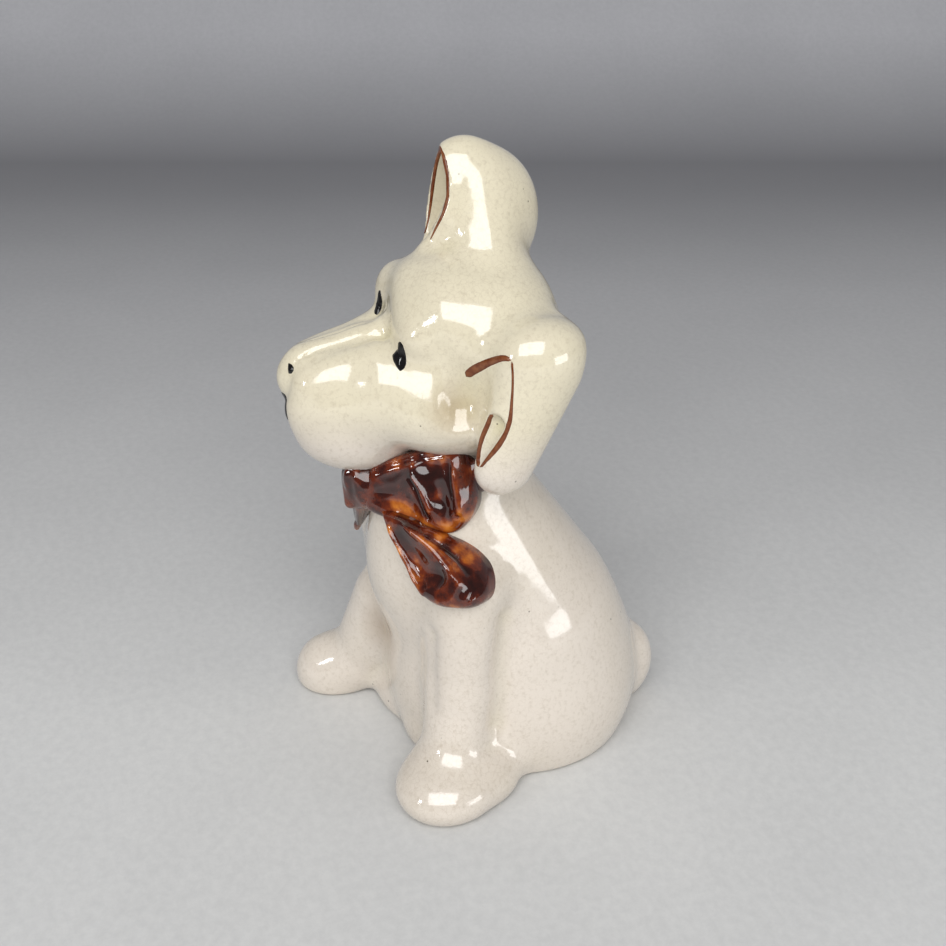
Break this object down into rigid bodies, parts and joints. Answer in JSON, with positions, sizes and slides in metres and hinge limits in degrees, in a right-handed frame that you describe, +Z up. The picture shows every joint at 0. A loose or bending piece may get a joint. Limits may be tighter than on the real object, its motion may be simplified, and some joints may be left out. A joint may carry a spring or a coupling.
{
  "type": "dog figurine",
  "caption": "Seated puppy figurine in glazed earthenware, with one ear up, one ear folded down and a tied neck bow, standing on a flat hollow base.",
  "frame": {"origin": "on the ground, under the middle of the figurine's outline", "axes": "+Z up, the dog's chest faces -Y and its own left side is +X"},
  "size_m": [0.081, 0.0928, 0.1509],
  "materials": {
    "cream_glaze": "glossy",
    "brown_glaze": "glossy",
    "black_enamel": "glossy",
    "brown_enamel": "glossy"
  },
  "bodies": {
    "root": {"torso": "cream_glaze", "head": "cream_glaze", "standing_ear": "cream_glaze", "folded_ear": "cream_glaze", "left_foreleg": "cream_glaze", "right_foreleg": "cream_glaze", "left_hind_foot": "cream_glaze", "right_hind_foot": "cream_glaze", "right_outer_toe": "cream_glaze", "tail": "cream_glaze", "neck_ribbon": "brown_glaze", "bow_knot": "brown_glaze", "left_bow_loop": "brown_glaze", "right_bow_loop": "brown_glaze", "left_bow_tail": "brown_glaze", "right_bow_tail": "brown_glaze", "left_eye": "black_enamel", "right_eye": "black_enamel", "left_nostril": "black_enamel", "right_nostril": "black_enamel", "mouth": "black_enamel", "folded_ear_upper_line": "brown_enamel", "folded_ear_edge_line": "brown_enamel", "folded_ear_front_line": "brown_enamel", "standing_ear_line": "brown_enamel"}
  },
  "joints": []
}
